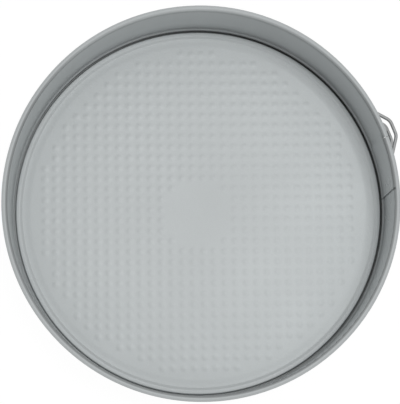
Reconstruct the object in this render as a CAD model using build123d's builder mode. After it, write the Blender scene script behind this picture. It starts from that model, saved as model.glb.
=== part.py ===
from build123d import *

import os
from math import acos, cos, degrees, radians, sin

# Round springform cake tin: a sprung steel band with an over-centre clasp, and a loose base.
# Millimetres. The origin is on the tin's axis in the plane that it stands on, +Z is up, and
# the middle of the clasp faces -Y. A place on the clasp is given by its run, the distance
# round the wall from the clasp's middle, to the right as seen from outside, and its
# standoff, the distance off the wall's outer face.

# Band: one strip of spring steel, with its ends lapped behind the clasp
inner_radius = 130.5
sheet = 0.5
tin_height = 65.0
bead_diameter = 4.0
bead_roll_angle = 290.0
bead_inset = 0.6
neck_bend = 1.2
foot_height = 10.0
seam_slit = 0.3
joggle_length = 4.4
lap_length = 35.0
lap_gap = 0.1

# Foot of the band: a groove that grips the base, and above it a ridge that shows inside
foot_inset = 2.35
groove_floor = 1.75
groove_opening = 1.8
groove_depth = 1.0
ridge_inset = 0.9
ridge_rise = 2.8
ridge_slope = 1.3
foot_bend = 0.5
groove_bend = 1.05
ridge_bend = 0.55
slope_bend = 1.5

# Base: one pressed disc, with its edge hemmed under
base_sheet = 0.5
hem_gap = 0.2
hem_bend = 0.3
hem_width = 1.6
groove_play = 0.3
groove_reach = 1.15
ledge_shadow_gap = 1.5
shoulder_run = 0.8
ledge_rise = 3.2
ledge_width = 2.7
riser_run = 1.1
riser_height = 1.6
gutter_width = 3.4
panel_slope_run = 4.6
panel_rise = 0.35
press_bend = 0.6
shoulder_bend = 2.0
panel_bend = 16.0

# Clasp: levels, from the clasp's middle
clasp_level = 36.0
lever_half_height = 9.0
eye_half_height = 4.5
part_gap = 0.3
weld_gap = 0.05
corner_radius = 1.5

# Clasp: hinge pin and its bracket, on the right-hand end of the band
pin_radius = 1.25
pin_fit = 0.05
pin_head_radius = 1.9
pin_head_height = 0.4
pin_head_round = 0.2
pin_run = 7.4
pin_standoff = 5.8
bracket_sheet = 1.0
bracket_curl_angle = 285.0
bracket_drop_run = 5.0
bracket_shoulder_run = 2.0
bracket_taper_run = 2.5
bracket_plate_half_height = 6.5
bracket_end_run = 35.0

# Clasp: lever
lever_sheet = 1.0
lever_curl_angle = 285.0
lever_neck_run = 5.3
lever_shoulder_radius = 1.2
lever_flare_run = 35.5
lever_flare_radius = 8.0
lever_flare_angle = 24.0
lever_tip_run = 38.8
lever_tip_half_height = 8.0
lever_tip_radius = 5.0
ear_radius = 1.95

# Clasp: bail, a bowed wire loop
wire_radius = 1.2
wire_fit = 0.05
bail_pivot_run = 23.5
bail_pivot_standoff = 2.2
bow_right_run = 10.6
bow_left_run = 0.4
bow_standoff = 11.5
bar_run = -14.0
arm_gap = 0.6
bow_bend = 7.0
bar_bend = 2.2
pintle_bend = 1.6
pintle_reach = 1.8

# Clasp: keeper, a hooked plate on the left-hand end of the band
keeper_sheet = 1.2
hook_play = 0.45
hook_lip = 0.8
hook_half_height = 6.5
hook_shoulder_run = 6.0
keeper_half_height = 8.5
keeper_end_run = -40.0

overrun = 5.0

# Worked out from the sizes above
wall_middle = inner_radius + sheet / 2
wall_outer = inner_radius + sheet
bead_middle = (bead_diameter - sheet) / 2
bead_level = tin_height - bead_diameter / 2
neck_turn = acos(1 - bead_inset / (bead_middle + neck_bend))
wall_top = bead_level - (bead_middle + neck_bend) * sin(neck_turn)
ridge_face = inner_radius - ridge_inset
groove_middle = inner_radius + groove_depth + sheet / 2
groove_low = groove_floor - sheet / 2
groove_high = groove_floor + groove_opening + sheet / 2
slope_foot = groove_high + ridge_rise
hem_pitch = base_sheet + hem_gap
flange_level = groove_floor + groove_play + base_sheet / 2 + hem_pitch
hem_level = flange_level - hem_pitch
ledge_level = flange_level + ledge_rise
gutter_level = ledge_level - riser_height
panel_level = gutter_level + panel_rise
flange_tip = ridge_face + groove_reach - base_sheet / 2
ledge_radius = ridge_face - ledge_shadow_gap
riser_top_radius = ledge_radius - ledge_width
riser_foot_radius = riser_top_radius - riser_run
gutter_radius = riser_foot_radius - gutter_width
panel_radius = gutter_radius - panel_slope_run
eye_bend = pin_radius + pin_fit + lever_sheet / 2
knuckle_bend = pin_radius + pin_fit + bracket_sheet / 2
hook_bend = wire_radius + hook_play + keeper_sheet / 2
blade_standoff = pin_standoff - eye_bend
plate_standoff = weld_gap + bracket_sheet / 2
keeper_standoff = weld_gap + keeper_sheet / 2
bar_standoff = keeper_standoff + hook_bend
arm_level = lever_half_height + arm_gap + wire_radius
pintle_level = lever_half_height - pintle_reach
pin_half_length = lever_half_height + pin_head_height
front_reach = wall_outer + bow_standoff + overrun


def heading(run):
    """The direction, in degrees about Z, that the wall takes to the right at this run."""
    return degrees(run / wall_outer)


def at(run, standoff):
    """The place in plan of a run and a standoff."""
    turn = run / wall_outer
    reach = wall_outer + standoff
    return (reach * sin(turn), -reach * cos(turn))


def across(run):
    """How far to the right of the clasp's middle a run on the wall's face shows from the front."""
    return at(run, 0)[0]


def wire_point(run, standoff, level):
    """The place of a point of the bail, with its level above the clasp's middle."""
    return (*at(run, standoff), clasp_level + level)


def along_wall(standoff, first_run, last_run):
    """An arc in plan that follows the wall at this standoff."""
    start = heading(first_run) - 90
    return CenterArc((0, 0), wall_outer + standoff, start, heading(last_run - first_run))


def section_plane(angle):
    """The upright plane through the tin's axis whose X points out at this angle."""
    turn = radians(angle)
    outwards = (cos(turn), sin(turn), 0)
    return Plane(origin=(0, 0, 0), x_dir=outwards, z_dir=(sin(turn), -cos(turn), 0))


slit_angle = heading(seam_slit)
seam_plane = section_plane(slit_angle / 2 - 90)
clasp_plane = Plane.XY.offset(clasp_level)
front_plane = Plane(origin=(0, 0, clasp_level), x_dir=(1, 0, 0), z_dir=(0, -1, 0))


# Band
with BuildPart() as ring_band:
    # wall, which steps inwards at the slit and runs on as a tongue behind its other end
    with BuildSketch(Plane.XY.offset(foot_height)):
        with BuildLine():
            joggle_start = heading(seam_slit + joggle_length)
            layer = CenterArc(
                (0, 0), wall_middle, joggle_start - 90, 360 - joggle_start - slit_angle / 2
            )
            tongue = along_wall(-sheet - lap_gap - sheet / 2, seam_slit, -lap_length)
            Spline(layer @ 0, tongue @ 0, tangents=[layer % 0 * -1, tongue % 0])
        trace(line_width=sheet)
    extrude(amount=wall_top - foot_height)
    # foot, with the groove and the ridge, from one side of the slit round to the other
    with BuildSketch(seam_plane):
        with BuildLine():
            FilletPolyline(
                (inner_radius - foot_inset, 0),
                (inner_radius - foot_inset, groove_low),
                (groove_middle, groove_low),
                (groove_middle, groove_high),
                (ridge_face + sheet / 2, groove_high),
                (ridge_face + sheet / 2, slope_foot),
                (wall_middle, slope_foot + ridge_slope),
                (wall_middle, foot_height),
                radius=[foot_bend, groove_bend, groove_bend, ridge_bend, slope_bend, slope_bend],
            )
        trace(line_width=sheet)
    # hollow rolled bead at the rim, on a neck that leans inwards over the wall
    with BuildSketch(seam_plane):
        with BuildLine():
            neck = JernArc((wall_middle, wall_top), (0, 1), neck_bend, degrees(neck_turn))
            JernArc(neck @ 1, neck % 1, bead_middle, -bead_roll_angle)
        trace(line_width=sheet)
    revolve(axis=Axis.Z, revolution_arc=360 - slit_angle)
ring_band.part.label = "ring_band"

# Base
with BuildPart() as base_disc:
    with BuildSketch(section_plane(0)):
        with BuildLine():
            FilletPolyline(
                (0, panel_level),
                (panel_radius, panel_level),
                (gutter_radius, gutter_level),
                (riser_foot_radius, gutter_level),
                (riser_top_radius, ledge_level),
                (ledge_radius, ledge_level),
                (ledge_radius + shoulder_run, flange_level),
                (flange_tip, flange_level),
                (flange_tip, hem_level),
                (flange_tip - hem_width, hem_level),
                radius=[panel_bend] * 2 + [press_bend] * 2 + [shoulder_bend, press_bend] + [hem_bend] * 2,
            )
        trace(line_width=base_sheet)
    revolve(axis=Axis.Z)
base_disc.part.label = "base_disc"

# Hinge pin, headed at both ends
with BuildPart() as hinge_pin:
    with BuildSketch(clasp_plane):
        with Locations(at(pin_run, pin_standoff)):
            Circle(pin_radius)
    extrude(amount=pin_half_length, both=True)
    for level in (-pin_half_length, lever_half_height):
        with BuildSketch(clasp_plane.offset(level)):
            with Locations(at(pin_run, pin_standoff)):
                Circle(pin_head_radius)
        extrude(amount=pin_head_height)
    rims = hinge_pin.edges().filter_by(GeomType.CIRCLE).group_by(Axis.Z)
    fillet(rims[0] + rims[-1], radius=pin_head_round)
hinge_pin.part.label = "hinge_pin"

# Hinge bracket, a leaf spot-welded to the wall, with a knuckle above and below the lever's eye
with BuildPart() as hinge_bracket:
    with BuildSketch(clasp_plane):
        with BuildLine():
            knuckle = CenterArc(
                at(pin_run, pin_standoff), knuckle_bend, heading(pin_run) + 90, bracket_curl_angle
            )
            leaf = along_wall(plate_standoff, pin_run + bracket_drop_run, bracket_end_run)
            Spline(knuckle @ 0, leaf @ 0, tangents=[knuckle % 0 * -1, leaf % 0])
        trace(line_width=bracket_sheet)
    extrude(amount=lever_half_height, both=True)
    # outline from the front, narrowed behind the lever so that its ears clear the plate
    with BuildSketch(front_plane):
        with BuildLine():
            shoulder = pin_run + bracket_drop_run + bracket_shoulder_run
            corners = [
                (across(pin_run - overrun), lever_half_height),
                (across(shoulder), lever_half_height),
                (across(shoulder + bracket_taper_run), bracket_plate_half_height),
                (across(bracket_end_run), bracket_plate_half_height),
            ]
            FilletPolyline(*corners, *[(x, -z) for x, z in corners[::-1]], radius=corner_radius, close=True)
        make_face()
    extrude(amount=front_reach, mode=Mode.INTERSECT)
    # notch that takes the lever's eye and neck
    with BuildSketch(front_plane):
        notch_width = across(pin_run + bracket_drop_run) - across(pin_run - overrun)
        with Locations((across(pin_run - overrun), 0)):
            Rectangle(
                notch_width, 2 * (eye_half_height + part_gap), align=(Align.MIN, Align.CENTER)
            )
    extrude(amount=front_reach, mode=Mode.SUBTRACT)
hinge_bracket.part.label = "hinge_bracket"

# Lever, curled round the pin, with two ears folded towards the wall for the bail
with BuildPart() as lever:
    with BuildSketch(clasp_plane):
        with BuildLine():
            CenterArc(at(pin_run, pin_standoff), eye_bend, heading(pin_run) + 90, lever_curl_angle)
            blade = along_wall(blade_standoff, pin_run, lever_flare_run)
            JernArc(blade @ 1, blade % 1, lever_flare_radius, -lever_flare_angle)
        trace(line_width=lever_sheet)
    extrude(amount=lever_half_height, both=True)
    # outline from the front: a narrow neck, square shoulders and a rounded finger tip
    with BuildSketch(front_plane):
        with BuildLine():
            corners = [
                (across(pin_run - overrun), eye_half_height),
                (across(pin_run + lever_neck_run), eye_half_height),
                (across(pin_run + lever_neck_run), lever_half_height),
                (across(lever_tip_run), lever_tip_half_height),
            ]
            bends = [lever_shoulder_radius] * 3 + [lever_tip_radius]
            FilletPolyline(
                *corners, *[(x, -z) for x, z in corners[::-1]], radius=bends + bends[::-1], close=True
            )
        make_face()
    extrude(amount=front_reach, mode=Mode.INTERSECT)
    for level in (-lever_half_height, lever_half_height - lever_sheet):
        with BuildSketch(clasp_plane.offset(level)):
            with Locations(at(bail_pivot_run, bail_pivot_standoff)):
                Circle(ear_radius)
                Rectangle(
                    2 * ear_radius,
                    blade_standoff - bail_pivot_standoff,
                    rotation=heading(bail_pivot_run),
                    align=(Align.CENTER, Align.MAX),
                )
                Circle(wire_radius + wire_fit, mode=Mode.SUBTRACT)
        extrude(amount=lever_sheet)
lever.part.label = "lever"

# Bail, one wire whose ends turn in through the ears and whose bar lies in the keeper's hook
with BuildPart() as bail:
    with BuildLine() as wire_route:
        upper_arm = [
            wire_point(bail_pivot_run, bail_pivot_standoff, pintle_level),
            wire_point(bail_pivot_run, bail_pivot_standoff, arm_level),
            wire_point(bow_right_run, bow_standoff, arm_level),
            wire_point(bow_left_run, bow_standoff, arm_level),
            wire_point(bar_run, bar_standoff, arm_level),
        ]
        lower_arm = [(x, y, 2 * clasp_level - z) for x, y, z in upper_arm[::-1]]
        bends = [pintle_bend, bow_bend, bow_bend, bar_bend]
        FilletPolyline(*upper_arm, *lower_arm, radius=bends + bends[::-1])
    route = wire_route.wire()
    with BuildSketch(Plane(origin=route @ 0, z_dir=route % 0)):
        Circle(wire_radius)
    sweep()
bail.part.label = "bail"

# Keeper, a plate spot-welded to the wall, with a hook that opens outwards and holds the bar
with BuildPart() as keeper_plate:
    with BuildSketch(clasp_plane):
        with BuildLine():
            plate = along_wall(keeper_standoff, keeper_end_run, bar_run)
            hook = JernArc(plate @ 1, plate % 1, hook_bend, -90)
            Line(hook @ 1, hook @ 1 + hook % 1 * hook_lip)
        trace(line_width=keeper_sheet)
    extrude(amount=keeper_half_height, both=True)
    with BuildSketch(front_plane):
        with BuildLine():
            shoulder = bar_run - hook_bend - hook_shoulder_run
            corners = [
                (across(bar_run + overrun), hook_half_height),
                (across(shoulder + keeper_half_height - hook_half_height), hook_half_height),
                (across(shoulder), keeper_half_height),
                (across(keeper_end_run), keeper_half_height),
            ]
            FilletPolyline(*corners, *[(x, -z) for x, z in corners[::-1]], radius=corner_radius, close=True)
        make_face()
    extrude(amount=front_reach, mode=Mode.INTERSECT)
keeper_plate.part.label = "keeper_plate"

os.makedirs("parts", exist_ok=True)
for piece in (ring_band, base_disc, hinge_pin, hinge_bracket, lever, bail, keeper_plate):
    export_step(piece.part, f"parts/{piece.part.label}.step")
    print(piece.part.label, "solids", len(piece.solids()), "volume", round(piece.part.volume, 1))
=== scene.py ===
from math import cos, hypot, pi, radians, sin, tan

import bmesh
import bpy
from mathutils import Matrix, Vector
from mathutils.geometry import delaunay_2d_cdt


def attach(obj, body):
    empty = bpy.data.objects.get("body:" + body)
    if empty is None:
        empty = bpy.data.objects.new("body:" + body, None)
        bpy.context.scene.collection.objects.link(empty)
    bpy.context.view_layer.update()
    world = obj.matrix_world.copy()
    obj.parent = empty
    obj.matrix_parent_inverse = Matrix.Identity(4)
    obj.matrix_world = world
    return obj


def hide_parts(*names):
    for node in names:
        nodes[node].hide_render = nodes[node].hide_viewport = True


# The looks of a round springform cake tin, in metres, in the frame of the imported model: the
# origin on the tin's axis where it stands, +Z up, and the middle of the clasp towards -Y.
# A heading is an angle about +Z in degrees, counted from +X.

MM = 0.001

# Camera, found by fitting the rim and the edge of the base in the photograph
IMAGE_WIDTH = 400
IMAGE_HEIGHT = 404
HALF_PIXEL = 0.5
FOCAL_PIXELS = 1697.4
CENTRE_PIXEL = (197.97, 211.69)
CAMERA_DISTANCE = 1200 * MM
CAMERA_TILT = 7.14
CAMERA_HEADING = 144.2
IMAGE_UP_HEADING = -19.5
SENSOR = 36.0

# Light: a soft lamp high above the tin, a little towards the picture's right, and a pale sky
KEY_HEADING = IMAGE_UP_HEADING - 67.0
KEY_TILT = 8.5
KEY_DISTANCE = 4.0
KEY_SIZE = 0.9
KEY_POWER = 34.0
SKY_STRENGTH = 0.67

# Floor: pale paper, which glows white where the camera or a reflection sees it
FLOOR_REACH = 3.0
FLOOR_PAPER = 0.86
FLOOR_GLOW = 1.03
FLOOR_GLOW_SHARE = 0.93

# Coating of band and base: peel, clouds and streaks, and a duller rim. A noise scale is in
# waves per metre, and a span is the part of the noise over which a tone or colour changes.
CLOUD_SCALE = 14.0
CLOUD_SPAN = (0.3, 0.7)
STREAK_SCALE = 420.0
STREAK_SPAN = (0.3, 0.7)
STREAK_TURN = 0.6
PEEL_SCALE = 1600.0
PEEL_SPAN = (0.25, 0.75)
PEEL_TONE = 0.94
PEEL_STRENGTH = 0.12
PEEL_DEPTH = 0.06 * MM
COAT_METALLIC = 0.2
COAT_GLOSS_SPAN = (0.25, 0.75)
COAT_GLOSS_CHANGE = 0.04
DULL_HEIGHTS = (60.5 * MM, 62.5 * MM)
DULL_ROUGHNESS = 0.6

# Bare steel of clasp and wire: fine marks and darker patches
MARK_SCALE = 1500.0
MARK_SPAN = (0.35, 0.7)
MARK_SHARE = 0.35
MARK_STRENGTH = 0.15
MARK_DEPTH = 0.05 * MM
PATCH_SCALE = 120.0
PATCH_SPAN = (0.3, 0.65)
STEEL_METALLIC = 0.6
STEEL_GLOSS_SPAN = (0.3, 0.7)
STEEL_GLOSS_CHANGE = 0.08

# Painted shade in the crevice between base and band: everywhere, and darker towards one side
CREVICE_SHADE = 0.15
CREVICE_SHADE_SIDE = 0.7
CREVICE_SHADE_HEADING = -60.0
CREVICE_SHADE_RADII = (127.9 * MM, 128.5 * MM)
CREVICE_SHADE_HEIGHTS = (6.4 * MM, 4.2 * MM)

# Painted light and shade on the base: darker towards the middle as painted shade, and paler towards
# the lamp's side as painted light
MIDDLE_SHADE_TONE = 0.9
MIDDLE_SHADE_RADII = (10.0 * MM, 110.0 * MM)
# Painted light: the base paler on the side of the lamp
LIT_SIDE_TONE = 1.05
LIT_SIDE_HEADING = IMAGE_UP_HEADING - 90.0
LIT_SIDE_REACH = (0.0, 113.0 * MM)

# Painted light and shade on the wall's inner face. Each stop has a height in millimetres and a
# tone.
WALL_TOP = 65.0
WALL_RADIUS = 130.5 * MM
INNER_FACE_RADII = (131.0 * MM, 130.7 * MM)
# Painted shade under the rim
NECK_SHADE_TONE = 0.76
NECK_SHADE_STOPS = ((56.5, 1.0), (58.5, NECK_SHADE_TONE), (62.2, NECK_SHADE_TONE), (63.8, 1.0))
# Painted light and shade at the wall's foot: paler on the side facing the lamp, darker on the side
# turned from it
LIT_FOOT_STOPS = ((7.0, 1.0), (9.0, 0.95), (12.0, 0.95), (15.0, 1.06), (28.0, 1.04), (36.0, 1.0))
SHADED_FOOT_STOPS = ((7.0, 0.85), (9.0, 0.76), (13.0, 0.76), (17.0, 0.9), (26.0, 0.97), (36.0, 1.0))
SHADED_FOOT_HEADING = IMAGE_UP_HEADING - 100.0
# Painted shade on the side of the wall turned from the lamp
SHADED_SIDE_TONE = 0.9
SHADED_SIDE_HEADING = IMAGE_UP_HEADING - 45.0
SHADED_SIDE_SPAN = (0.86, 0.97)

# Painted shade along the lap's inner edge, narrower on the wall than near the rim
LAP_SHADE_TONE = 0.35
LAP_EDGE_HEADING = -105.5
LAP_LINE = (0.35 * MM, 1.15 * MM)
LAP_NARROW = 0.6
LAP_WIDENING = (55.0 * MM, 60.0 * MM)

# Painted shade on the inner edge of the rim, away from the picture's top
BEAD_SHADE_TONE = 0.62
BEAD_HEIGHTS = (61.0 * MM, 62.0 * MM)
BEAD_RADII = (130.9 * MM, 131.7 * MM)
BEAD_HEADING = IMAGE_UP_HEADING + 180.0
BEAD_SPAN = (0.0, 0.25)

# Base: the upper face of its pressed steps, from the hemmed flange inwards. Each corner has a
# radius, a height and a bend.
BASE_SHEET = 0.5 * MM
FLANGE_EDGE = 129.45 * MM
FLANGE_MIDDLE = 3.0 * MM
HEM_TOP = 2.6 * MM
BASE_CORNERS = (
    (129.3 * MM, 3.25 * MM, 0.0),
    (128.75 * MM, 3.25 * MM, 0.3 * MM),
    (128.05 * MM, 6.45 * MM, 0.8 * MM),
    (125.35 * MM, 6.45 * MM, 1.0 * MM),
    (123.65 * MM, 5.35 * MM, 1.2 * MM),
    (121.3 * MM, 5.35 * MM, 30.0 * MM),
    (118.3 * MM, 5.48 * MM, 30.0 * MM),
    (116.9 * MM, 5.48 * MM, 0.0),
)
BEND_POINTS = 7
WELD_DISTANCE = 0.001 * MM
FILL_TOLERANCE = 1e-9

# Low round studs pressed up from below, in a square pattern. Each stud's surface is made from
# rings of points, at shares of its radius.
STUD_PITCH = 7.4 * MM
STUD_RADIUS = 3.5 * MM
STUD_HEIGHT = 0.21 * MM
STUD_FIELD_RADIUS = 113.0 * MM
STUD_ROW_HEADING = -108.8
STUD_OFFSET = (3.17 * MM, 1.24 * MM)
BLANK_RADIUS = 24.0 * MM
BLANK_CENTRE = (-1.0 * MM, -1.8 * MM)
TOP_RING_SHARES = (1.0, 0.8, 0.6, 0.4, 0.2)
TOP_RING_POINTS = 14
UNDER_RING_SHARES = (1.0, 0.66, 0.33)
UNDER_RING_POINTS = 10


def direction(heading, tilt=90.0):
    """The unit vector at a heading about Z, tilted from straight up, both in degrees."""
    a, t = radians(heading), radians(tilt)
    return Vector((sin(t) * cos(a), sin(t) * sin(a), cos(t)))


def grey(tone):
    return (tone, tone, tone)


class Shader:
    """A node material with short calls for the nodes that this scene uses."""

    def __init__(self, name):
        self.material = bpy.data.materials.new(name)
        self.material.use_nodes = True
        self.tree = self.material.node_tree
        self.tree.nodes.clear()
        self.output = self.tree.nodes.new("ShaderNodeOutputMaterial")

    def node(self, kind, inputs=None, **settings):
        made = self.tree.nodes.new("ShaderNode" + kind)
        for key, value in settings.items():
            setattr(made, key, value)
        for key, value in (inputs or {}).items():
            self.put(made.inputs[key], value)
        return made

    def put(self, socket, value):
        if isinstance(value, bpy.types.NodeSocket):
            self.tree.links.new(value, socket)
        else:
            socket.default_value = value

    def math(self, operation, *values):
        made = self.node("Math", operation=operation)
        for socket, value in zip(made.inputs, values):
            self.put(socket, value)
        return made.outputs[0]

    def share(self, value, low, high):
        """How far the value is on the way from low to high, from 0 to 1."""
        return self.math("DIVIDE", self.math("SUBTRACT", value, low), high - low)

    def noise(self, vector, scale, detail=2.0, roughness=0.5):
        made = self.node(
            "TexNoise", {"Vector": vector, "Scale": scale, "Detail": detail, "Roughness": roughness}
        )
        return made.outputs["Fac"]

    def ramp(self, factor, *stops):
        """A tone or colour along a factor. Each stop has a place from 0 to 1, and its value."""
        made = self.node("ValToRGB", {"Fac": factor})
        elements = made.color_ramp.elements
        while len(elements) < len(stops):
            elements.new(0.5)
        for element, (place, value) in zip(elements, stops):
            colour = grey(value) if isinstance(value, float) else value
            element.position = place
            element.color = (*colour, 1.0)
        return made.outputs["Color"]

    def fade(self, factor, span, first, last):
        """From first to last over a span of the factor, which itself runs from 0 to 1."""
        return self.ramp(factor, (span[0], first), (span[1], last))

    def fade_over(self, value, span, first=0.0, last=1.0):
        """From first to last over a span of any value, such as a height or a radius."""
        return self.ramp(self.share(value, *span), (0.0, first), (1.0, last))

    def mix(self, factor, first, second, blend="MIX"):
        made = self.node("Mix", data_type="RGBA", blend_type=blend)
        self.put(made.inputs["Factor"], factor)
        for socket, value in ((made.inputs[6], first), (made.inputs[7], second)):
            self.put(socket, (*value, 1.0) if isinstance(value, tuple) else value)
        return made.outputs[2]

    def multiply(self, first, second):
        return self.mix(1.0, first, second, "MULTIPLY")

    def bump(self, height, strength, depth):
        made = self.node("Bump", {"Height": height, "Strength": strength, "Distance": depth})
        return made.outputs["Normal"]

    def surface(self, socket):
        self.tree.links.new(socket, self.output.inputs["Surface"])
        return self.material


def around_axis(shader):
    """A point's place, and the same as its angle, radius and height round the tin's axis."""
    place = shader.node("TexCoord").outputs["Object"]
    x, y, height = shader.node("SeparateXYZ", {"Vector": place}).outputs
    angle = shader.math("ARCTAN2", y, x)
    squares = shader.math("ADD", shader.math("MULTIPLY", x, x), shader.math("MULTIPLY", y, y))
    return place, angle, shader.math("SQRT", squares), height


def side_share(shader, angle, heading):
    """How far round the tin a place lies towards a heading, from 0 opposite to 1 there."""
    turn = shader.math("COSINE", shader.math("SUBTRACT", angle, radians(heading)))
    return shader.share(turn, -1.0, 1.0)


def height_ramp(shader, height, stops):
    """A tone that changes up the wall, by stops of a height in millimetres and a tone."""
    places = ((level / WALL_TOP, tone) for level, tone in stops)
    return shader.ramp(shader.share(height, 0.0, WALL_TOP * MM), *places)


def crevice_shade(shader, angle, cover):
    """The tone of painted shade in the crevice where cover is set, darkest on the side at
    CREVICE_SHADE_HEADING.
    """
    side = side_share(shader, angle, CREVICE_SHADE_HEADING)
    lost = shader.math("MULTIPLY", cover, shader.math("MULTIPLY_ADD", side, CREVICE_SHADE_SIDE, CREVICE_SHADE))
    return shader.math("SUBTRACT", 1.0, lost)


def base_painted_light(shader, angle, radius, height):
    """The base's painted light and shade: a darker middle, a paler side towards the lamp and shade
    in the crevice at its edge.
    """
    middle_shade = shader.fade_over(radius, MIDDLE_SHADE_RADII, MIDDLE_SHADE_TONE, 1.0)
    crevice_dark = crevice_shade(shader, angle, shader.fade_over(radius, CREVICE_SHADE_RADII))
    turn = shader.math("COSINE", shader.math("SUBTRACT", angle, radians(LIT_SIDE_HEADING)))
    pale = shader.fade_over(shader.math("MULTIPLY", turn, radius), LIT_SIDE_REACH, 1.0, LIT_SIDE_TONE)
    return shader.multiply(shader.multiply(middle_shade, pale), crevice_dark)


def wall_painted_shade(shader, angle, height):
    """The wall's painted shade under the rim, painted light and shade at its foot, and painted
    shade on its side turned from the lamp.
    """
    foot_shade_share = side_share(shader, angle, SHADED_FOOT_HEADING)
    neck = height_ramp(shader, height, NECK_SHADE_STOPS)
    lit_foot = height_ramp(shader, height, LIT_FOOT_STOPS)
    shaded_foot = height_ramp(shader, height, SHADED_FOOT_STOPS)
    tone = shader.multiply(neck, shader.mix(foot_shade_share, lit_foot, shaded_foot))
    side_shade_share = side_share(shader, angle, SHADED_SIDE_HEADING)
    return shader.multiply(tone, shader.fade(side_shade_share, SHADED_SIDE_SPAN, 1.0, SHADED_SIDE_TONE))


def lap_shade(shader, angle, height):
    """Painted shade along the lap's inner edge."""
    turn = shader.math("ABSOLUTE", shader.math("SUBTRACT", angle, radians(LAP_EDGE_HEADING)))
    width = shader.fade_over(height, LAP_WIDENING, LAP_NARROW, 1.0)
    away = shader.math("MULTIPLY", turn, shader.math("DIVIDE", WALL_RADIUS, width))
    return shader.fade_over(away, LAP_LINE, LAP_SHADE_TONE, 1.0)


def band_painted_shade(shader, angle, radius, height):
    """The band's painted light and shade: shade in the crevice at its foot, light and shade on its
    inner face, and shade on the rim's inner edge.
    """
    foot = crevice_shade(shader, angle, shader.fade_over(height, CREVICE_SHADE_HEIGHTS))
    inner_face = shader.fade_over(radius, INNER_FACE_RADII)
    wall = shader.multiply(wall_painted_shade(shader, angle, height), lap_shade(shader, angle, height))
    tone = shader.mix(inner_face, grey(1.0), wall)
    # Painted shade on the rim's inner edge
    bead = shader.fade_over(height, BEAD_HEIGHTS)
    bead_shade = shader.fade_over(radius, BEAD_RADII, BEAD_SHADE_TONE, 1.0)
    side = shader.fade(side_share(shader, angle, BEAD_HEADING), BEAD_SPAN, 0.0, 1.0)
    tone = shader.mix(shader.multiply(bead, side), tone, shader.multiply(tone, bead_shade))
    return shader.multiply(foot, tone)


def coating(name, dark, light, roughness, streaks, painted_light):
    """Satin non-stick coating: fine orange peel, cloudy tone, faint streaks from rolling, and the
    painted light and shade that painted_light gives it."""
    shader = Shader(name)
    place, angle, radius, height = around_axis(shader)
    clouds = shader.noise(place, CLOUD_SCALE, detail=3.0)
    peel = shader.noise(place, PEEL_SCALE, roughness=0.6)
    rolled_place = shader.node(
        "CombineXYZ",
        {"X": shader.math("MULTIPLY", angle, STREAK_TURN), "Y": height, "Z": radius},
    ).outputs[0]
    rolled = shader.noise(rolled_place, STREAK_SCALE, roughness=0.55)
    tone = shader.fade(clouds, CLOUD_SPAN, dark, light)
    tone = shader.mix(streaks, tone, shader.fade(rolled, STREAK_SPAN, dark, light))
    tone = shader.multiply(tone, shader.fade(peel, PEEL_SPAN, PEEL_TONE, 1.0))
    # Painted light and shade multiplied into the coating's tone
    tone = shader.multiply(tone, painted_light(shader, angle, radius, height))
    gloss = shader.fade(
        clouds, COAT_GLOSS_SPAN, roughness - COAT_GLOSS_CHANGE, roughness + COAT_GLOSS_CHANGE
    )
    gloss = shader.mix(shader.fade_over(height, DULL_HEIGHTS), gloss, grey(DULL_ROUGHNESS))
    normal = shader.bump(peel, PEEL_STRENGTH, PEEL_DEPTH)
    principled = shader.node(
        "BsdfPrincipled",
        {"Base Color": tone, "Roughness": gloss, "Metallic": COAT_METALLIC, "Normal": normal},
    )
    return shader.surface(principled.outputs[0])


def bare_steel(name, dark, light, roughness, along):
    """Plain steel with darker handled patches and fine draw marks, which run along the axes
    that have a small scale in along."""
    shader = Shader(name)
    place = shader.node("TexCoord").outputs["Object"]
    marks_place = shader.node("Mapping", {"Vector": place, "Scale": along}).outputs[0]
    marks = shader.noise(marks_place, MARK_SCALE, detail=3.0, roughness=0.6)
    patches = shader.noise(place, PATCH_SCALE)
    tone = shader.fade(patches, PATCH_SPAN, dark, light)
    tone = shader.mix(MARK_SHARE, tone, shader.fade(marks, MARK_SPAN, dark, light))
    gloss = shader.fade(
        marks, STEEL_GLOSS_SPAN, roughness - STEEL_GLOSS_CHANGE, roughness + STEEL_GLOSS_CHANGE
    )
    normal = shader.bump(marks, MARK_STRENGTH, MARK_DEPTH)
    principled = shader.node(
        "BsdfPrincipled",
        {"Base Color": tone, "Roughness": gloss, "Metallic": STEEL_METALLIC, "Normal": normal},
    )
    return shader.surface(principled.outputs[0])


def white_floor():
    """White to the camera and in reflections, and keeps a faint shadow of the tin."""
    shader = Shader("floor_white")
    path = shader.node("LightPath").outputs
    seen = shader.math("MAXIMUM", path["Is Camera Ray"], path["Is Glossy Ray"])
    seen = shader.math("MAXIMUM", seen, path["Is Transmission Ray"])
    paper = shader.node("BsdfDiffuse", {"Color": (*grey(FLOOR_PAPER), 1.0)}).outputs[0]
    white = {"Color": (*grey(1.0), 1.0), "Strength": FLOOR_GLOW}
    glow = shader.node("Emission", white).outputs[0]
    mixed = shader.node("MixShader", {"Fac": shader.math("MULTIPLY", seen, FLOOR_GLOW_SHARE)})
    shader.put(mixed.inputs[1], paper)
    shader.put(mixed.inputs[2], glow)
    return shader.surface(mixed.outputs[0])


def stud_places():
    """The studs' centres: a square grid, bare in the middle and outside the round field."""
    across = direction(STUD_ROW_HEADING)
    along = direction(STUD_ROW_HEADING + 90)
    count = int(STUD_FIELD_RADIUS / STUD_PITCH) + 2
    blank = across * BLANK_CENTRE[0] + along * BLANK_CENTRE[1]
    places = []
    for row in range(-count, count + 1):
        for column in range(-count, count + 1):
            place = across * (column * STUD_PITCH + STUD_OFFSET[0])
            place += along * (row * STUD_PITCH + STUD_OFFSET[1])
            if place.length < STUD_FIELD_RADIUS and (place - blank).length > BLANK_RADIUS:
                places.append((place.x, place.y))
    return places


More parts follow.
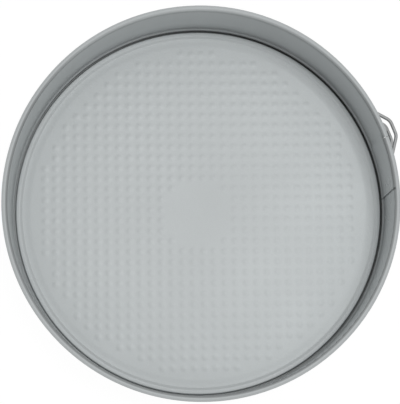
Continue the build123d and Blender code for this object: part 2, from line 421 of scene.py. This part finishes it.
def studded_face(mesh, rim, facing, places, shares, ring_points):
    """Fills the loop of vertices rim with a flat face that has the studs pressed up in it."""
    level = sum(v.co.z for v in rim) / len(rim)
    points = [Vector((v.co.x, v.co.y)) for v in rim]
    heights = [0.0] * len(rim)
    for x, y in places:
        points.append(Vector((x, y)))
        heights.append(STUD_HEIGHT)
        for ring, share in enumerate(shares):
            reach = share * STUD_RADIUS
            rise = STUD_HEIGHT * (1 + cos(pi * share)) / 2
            for k in range(ring_points):
                turn = 2 * pi * (k + 0.5 * (ring % 2)) / ring_points
                points.append(Vector((x + reach * cos(turn), y + reach * sin(turn))))
                heights.append(rise)
    edges = [(i, (i + 1) % len(rim)) for i in range(len(rim))]
    made, _, faces, sources, _, _ = delaunay_2d_cdt(points, edges, [], 0, FILL_TOLERANCE)
    verts = []
    for place, source in zip(made, sources):
        first = source[0]
        if first < len(rim):
            verts.append(rim[first])
        else:
            verts.append(mesh.verts.new((place.x, place.y, level + heights[first])))
    for face in faces:
        corners = [verts[i] for i in (face if facing > 0 else face[::-1])]
        mesh.faces.new(corners).smooth = True


def loop_from(edges):
    """The vertices of one closed loop of boundary edges, in order."""
    edges = set(edges)
    edge = edges.pop()
    loop = [edge.verts[0], edge.verts[1]]
    while True:
        step = next((e for e in loop[-1].link_edges if e in edges), None)
        if step is None:
            return loop[:-1] if loop[-1] is loop[0] else loop
        edges.discard(step)
        loop.append(step.other_vert(loop[-1]))


def rounded(corners):
    """The points of a profile through corners, each of a radius, a height and a bend."""
    points = [Vector(corners[0][:2])]
    for before, here, after in zip(corners, corners[1:], corners[2:]):
        corner, bend = Vector(here[:2]), here[2]
        back = (Vector(before[:2]) - corner).normalized()
        on = (Vector(after[:2]) - corner).normalized()
        half = back.angle(on) / 2
        centre = corner + (back + on).normalized() * (bend / sin(half))
        first = corner + back * (bend / tan(half)) - centre
        last = corner + on * (bend / tan(half)) - centre
        for k in range(BEND_POINTS + 1):
            points.append(centre + first.slerp(last, k / BEND_POINTS) * bend)
    points.append(Vector(corners[-1][:2]))
    return points


def pressed_steps(mesh, rim, facing):
    """Adds the rings of the pressed steps inside the loop of vertices rim, and returns the last."""
    points = rounded(BASE_CORNERS)
    for before, here, after in zip(points, points[1:], points[2:] + points[-1:]):
        run = after - before
        down = Vector((-run.y, run.x)).normalized() * (BASE_SHEET if facing < 0 else 0.0)
        radius, height = here + down
        ring = []
        for corner in rim:
            spot = Vector((corner.co.x, corner.co.y)).normalized() * radius
            ring.append(mesh.verts.new((spot.x, spot.y, height)))
        for k in range(len(rim)):
            n = (k + 1) % len(rim)
            corners = (rim[k], rim[n], ring[n], ring[k])
            mesh.faces.new(corners if facing > 0 else corners[::-1]).smooth = True
        rim = ring
    return rim


def make_base(node):
    """The pressed base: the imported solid's hemmed edge, and inside it the steps and studs."""
    mesh = bmesh.new()
    mesh.from_mesh(node.data)
    bmesh.ops.remove_doubles(mesh, verts=mesh.verts, dist=WELD_DISTANCE)
    places = stud_places()
    inside = {
        f for f in mesh.faces
        if min(v.co.z for v in f.verts) > HEM_TOP
        and max(hypot(v.co.x, v.co.y) for v in f.verts) < FLANGE_EDGE
    }
    border = [e for e in mesh.edges if sum(f in inside for f in e.link_faces) == 1]
    bmesh.ops.delete(mesh, geom=list(inside), context="FACES_ONLY")
    for facing, shares, ring_points in (
        (1, TOP_RING_SHARES, TOP_RING_POINTS),
        (-1, UNDER_RING_SHARES, UNDER_RING_POINTS),
    ):
        rim = loop_from([e for e in border if (e.verts[0].co.z - FLANGE_MIDDLE) * facing > 0])
        area = sum(a.co.x * b.co.y - b.co.x * a.co.y for a, b in zip(rim, rim[1:] + rim[:1]))
        rim = pressed_steps(mesh, rim if area > 0 else rim[::-1], facing)
        studded_face(mesh, rim, facing, places, shares, ring_points)
    loose = [v for v in mesh.verts if not v.link_faces]
    bmesh.ops.delete(mesh, geom=loose, context="VERTS")
    data = bpy.data.meshes.new("studded_base")
    mesh.to_mesh(data)
    mesh.free()
    base = bpy.data.objects.new("studded_base", data)
    bpy.context.scene.collection.objects.link(base)
    return base


def paint(piece, material):
    piece.data.materials.clear()
    piece.data.materials.append(material)


def add_area_light(name, place, target, size, power):
    light = bpy.data.lights.new(name, "AREA")
    light.shape = "DISK"
    light.size = size
    light.energy = power
    lamp = bpy.data.objects.new(name, light)
    lamp.location = place
    lamp.rotation_euler = (Vector(target) - Vector(place)).to_track_quat("-Z", "Y").to_euler()
    bpy.context.scene.collection.objects.link(lamp)


def make_camera():
    towards = direction(CAMERA_HEADING, CAMERA_TILT)
    right = (-towards).cross(direction(IMAGE_UP_HEADING)).normalized()
    up = right.cross(-towards)
    data = bpy.data.cameras.new("camera")
    longest = max(IMAGE_WIDTH, IMAGE_HEIGHT)
    data.sensor_width = SENSOR
    data.lens = FOCAL_PIXELS * SENSOR / longest
    data.shift_x = (IMAGE_WIDTH / 2 - HALF_PIXEL - CENTRE_PIXEL[0]) / longest
    data.shift_y = (CENTRE_PIXEL[1] - IMAGE_HEIGHT / 2 + HALF_PIXEL) / longest
    camera = bpy.data.objects.new("camera", data)
    turn = Matrix((right, up, towards)).transposed()
    camera.matrix_world = Matrix.Translation(towards * CAMERA_DISTANCE) @ turn.to_4x4()
    bpy.context.scene.collection.objects.link(camera)
    bpy.context.scene.camera = camera


def make_floor():
    data = bpy.data.meshes.new("floor")
    reach = FLOOR_REACH
    corners = [(-reach, -reach, 0), (reach, -reach, 0), (reach, reach, 0), (-reach, reach, 0)]
    data.from_pydata(corners, [], [(0, 1, 2, 3)])
    floor = bpy.data.objects.new("floor", data)
    bpy.context.scene.collection.objects.link(floor)
    paint(floor, white_floor())


def light_studio():
    world = bpy.data.worlds.new("studio")
    bpy.context.scene.world = world
    world.use_nodes = True
    background = world.node_tree.nodes["Background"]
    background.inputs["Color"].default_value = (*grey(1.0), 1.0)
    background.inputs["Strength"].default_value = SKY_STRENGTH
    key = direction(KEY_HEADING, KEY_TILT) * KEY_DISTANCE
    add_area_light("key", key, (0, 0, 0), KEY_SIZE, KEY_POWER)


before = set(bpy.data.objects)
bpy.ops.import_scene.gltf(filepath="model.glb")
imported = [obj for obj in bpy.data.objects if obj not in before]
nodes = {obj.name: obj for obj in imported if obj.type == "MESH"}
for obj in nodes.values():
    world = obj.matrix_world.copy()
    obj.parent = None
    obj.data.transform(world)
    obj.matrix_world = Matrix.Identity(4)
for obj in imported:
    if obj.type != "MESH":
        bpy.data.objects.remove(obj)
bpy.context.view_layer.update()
bpy.context.scene.view_settings.view_transform = "Standard"

# Each coating gets its painted light and shade from its last argument
band_coat = coating(
    "band_coating",
    dark=(0.47, 0.495, 0.5),
    light=(0.52, 0.545, 0.55),
    roughness=0.3,
    streaks=0.4,
    painted_light=band_painted_shade,
)
base_coat = coating(
    "base_coating",
    dark=(0.555, 0.585, 0.59),
    light=(0.59, 0.62, 0.625),
    roughness=0.5,
    streaks=0.1,
    painted_light=base_painted_light,
)
clasp_steel = bare_steel(
    "clasp_steel",
    dark=(0.2, 0.205, 0.205),
    light=(0.32, 0.325, 0.325),
    roughness=0.45,
    along=(0.08, 1.0, 1.0),
)
wire_steel = bare_steel(
    "wire_steel",
    dark=(0.33, 0.335, 0.335),
    light=(0.45, 0.455, 0.455),
    roughness=0.5,
    along=(0.1, 0.1, 1.0),
)

paint(nodes["ring_band"], band_coat)
paint(nodes["base_disc"], base_coat)
for name in ("hinge_bracket", "hinge_pin", "keeper_plate", "lever"):
    paint(nodes[name], clasp_steel)
paint(nodes["bail"], wire_steel)

base = make_base(nodes["base_disc"])
paint(base, base_coat)
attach(base, "base")
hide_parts("base_disc")

make_camera()
make_floor()
light_studio()
